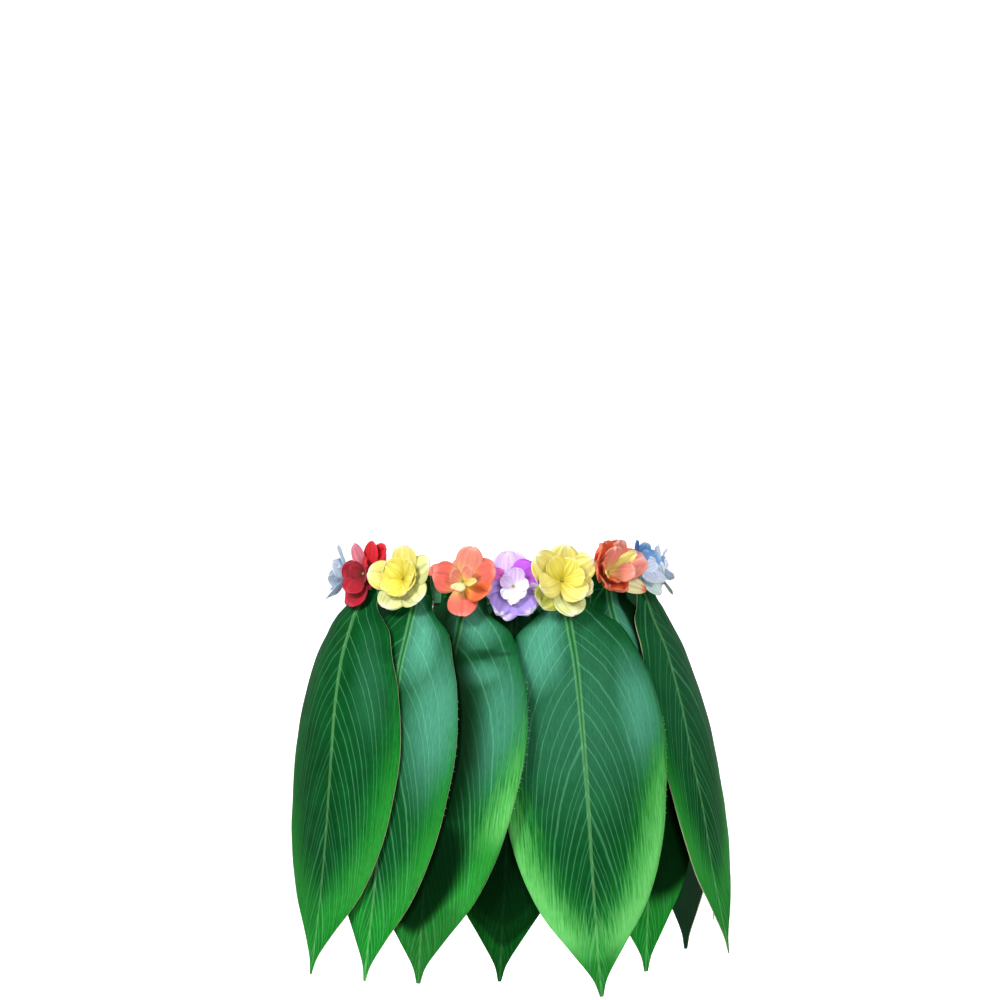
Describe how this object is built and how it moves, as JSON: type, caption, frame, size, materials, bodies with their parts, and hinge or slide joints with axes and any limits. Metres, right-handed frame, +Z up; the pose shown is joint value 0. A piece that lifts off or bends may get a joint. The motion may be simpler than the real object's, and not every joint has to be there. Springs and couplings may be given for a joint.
{
  "type": "ti leaf skirt",
  "caption": "Costume skirt of broad cloth ti leaves that hang, overlapping, from a round elastic waistband trimmed with a ring of cloth flowers.",
  "frame": {"origin": "middle of the waistband's ring, where the wearer's waist holds the skirt", "axes": "+Z up out of the waist, the front faces -Y, +X to the right of someone who looks at the front"},
  "size_m": [0.3814, 0.3304, 0.3884],
  "materials": {
    "waistband_elastic": "ribbed woven elastic",
    "leaf_satin": "satin with printed veins, heat-cut edge",
    "petal_red": "matt silk cloth",
    "petal_yellow": "matt silk cloth",
    "petal_coral": "matt silk cloth",
    "petal_purple": "matt silk cloth",
    "petal_blue": "matt silk cloth",
    "petal_pale_blue": "matt silk cloth"
  },
  "bodies": {
    "root": {"flower_01_inner": "petal_red", "flower_01_outer": "petal_red", "flower_02_inner": "petal_yellow", "flower_02_outer": "petal_yellow", "flower_03_inner": "petal_coral", "flower_03_outer": "petal_coral", "flower_04_inner": "petal_purple", "flower_04_outer": "petal_purple", "flower_05_inner": "petal_yellow", "flower_05_outer": "petal_yellow", "flower_06_inner": "petal_coral", "flower_06_outer": "petal_coral", "flower_07_inner": "petal_blue", "flower_07_outer": "petal_blue", "flower_08_inner": "petal_pale_blue", "flower_08_outer": "petal_pale_blue", "flower_09_inner": "petal_yellow", "flower_09_outer": "petal_yellow", "flower_10_inner": "petal_coral", "flower_10_outer": "petal_coral", "flower_11_inner": "petal_purple", "flower_11_outer": "petal_purple", "flower_12_inner": "petal_yellow", "flower_12_outer": "petal_yellow", "flower_13_inner": "petal_coral", "flower_13_outer": "petal_coral", "flower_14_inner": "petal_blue", "flower_14_outer": "petal_blue", "flower_15_inner": "petal_red", "flower_15_outer": "petal_red", "flower_16_inner": "petal_pale_blue", "flower_16_outer": "petal_pale_blue", "leaf_01": "leaf_satin", "leaf_02": "leaf_satin", "leaf_03": "leaf_satin", "leaf_04": "leaf_satin", "leaf_05": "leaf_satin", "leaf_06": "leaf_satin", "leaf_07": "leaf_satin", "leaf_08": "leaf_satin", "leaf_09": "leaf_satin", "leaf_10": "leaf_satin", "leaf_11": "leaf_satin", "leaf_12": "leaf_satin", "leaf_13": "leaf_satin", "leaf_14": "leaf_satin", "leaf_15": "leaf_satin", "leaf_16": "leaf_satin", "waistband": "waistband_elastic"}
  },
  "joints": []
}
